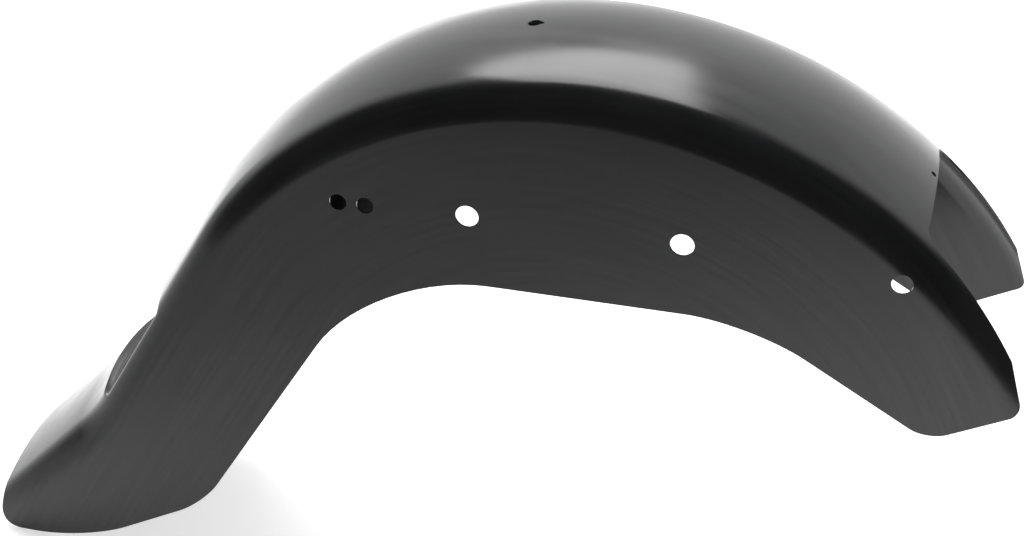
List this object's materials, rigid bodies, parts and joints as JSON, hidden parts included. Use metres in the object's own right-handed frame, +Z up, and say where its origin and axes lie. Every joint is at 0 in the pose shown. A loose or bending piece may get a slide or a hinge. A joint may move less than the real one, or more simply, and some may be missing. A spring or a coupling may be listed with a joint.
{
  "type": "motorcycle rear fender",
  "caption": "One-piece pressed steel rear fender with flat sides, a crowned top, a flared tail, a plate pocket and an open front.",
  "frame": {"origin": "middle of the overall length and width, at the lowest point of the tail edge", "axes": "+X to the front of the motorcycle, +Y to its left side, +Z up, as bolted to the frame with its strut holes level"},
  "size_m": [1.0515, 0.222, 0.6294],
  "materials": {
    "primed_steel": "satin black electrocoat primer on pressed steel"
  },
  "bodies": {
    "root": {"fender": "primed_steel"}
  },
  "joints": []
}
